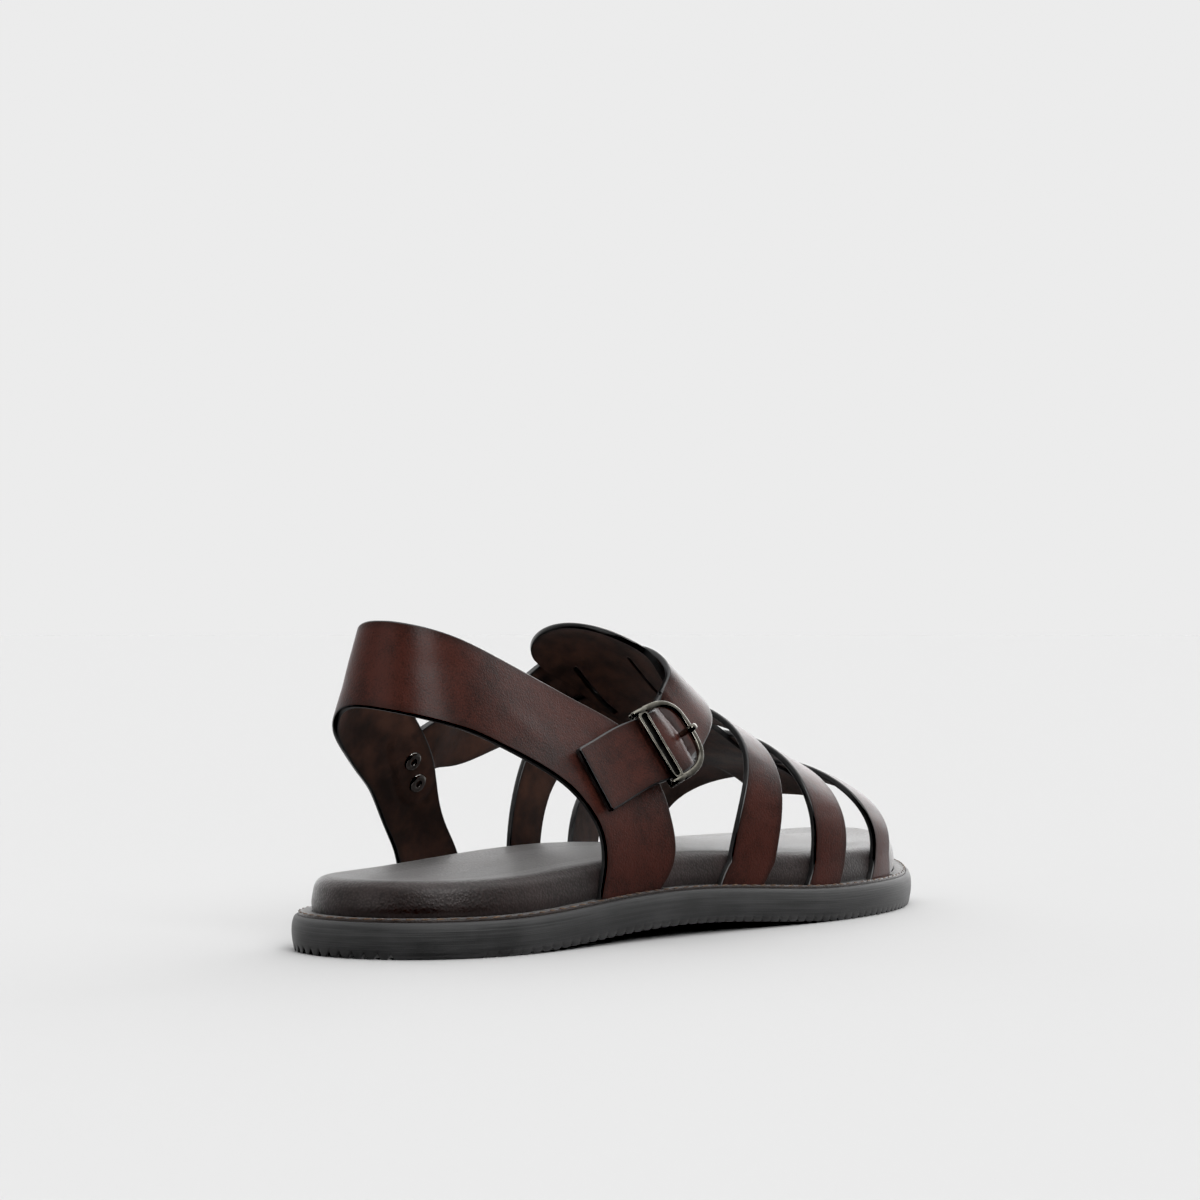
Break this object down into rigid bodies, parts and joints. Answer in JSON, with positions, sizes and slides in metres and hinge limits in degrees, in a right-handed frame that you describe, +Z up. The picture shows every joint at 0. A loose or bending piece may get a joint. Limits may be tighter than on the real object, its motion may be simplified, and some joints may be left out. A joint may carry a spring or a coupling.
{
  "type": "strap sandal",
  "caption": "Right-foot leather strap sandal: cross straps over the foot, a long tongue, a heel strap, a buckled instep strap and a thick notched sole.",
  "frame": {"origin": "on the ground under the middle of the sole's bounding box", "axes": "+X along the length from heel to toe, +Y to the inner side of the foot, +Z up"},
  "size_m": [0.292, 0.1056, 0.1033],
  "materials": {
    "rubber": "moulded, dark grey, finely lined",
    "welt_leather": "brown stitched strip",
    "footbed_leather": "fine pebbled grain, soft sheen",
    "strap_leather": "burnished dark brown with dark painted edges",
    "gunmetal": "polished dark grey plating"
  },
  "bodies": {
    "root": {"outsole": "rubber", "welt": "welt_leather", "footbed": "footbed_leather", "upper": "strap_leather", "heel_strap": "strap_leather", "instep_strap": "strap_leather", "buckle_frame": "gunmetal", "buckle_prong": "gunmetal", "rivet_upper": "gunmetal", "rivet_lower": "gunmetal"}
  },
  "joints": []
}
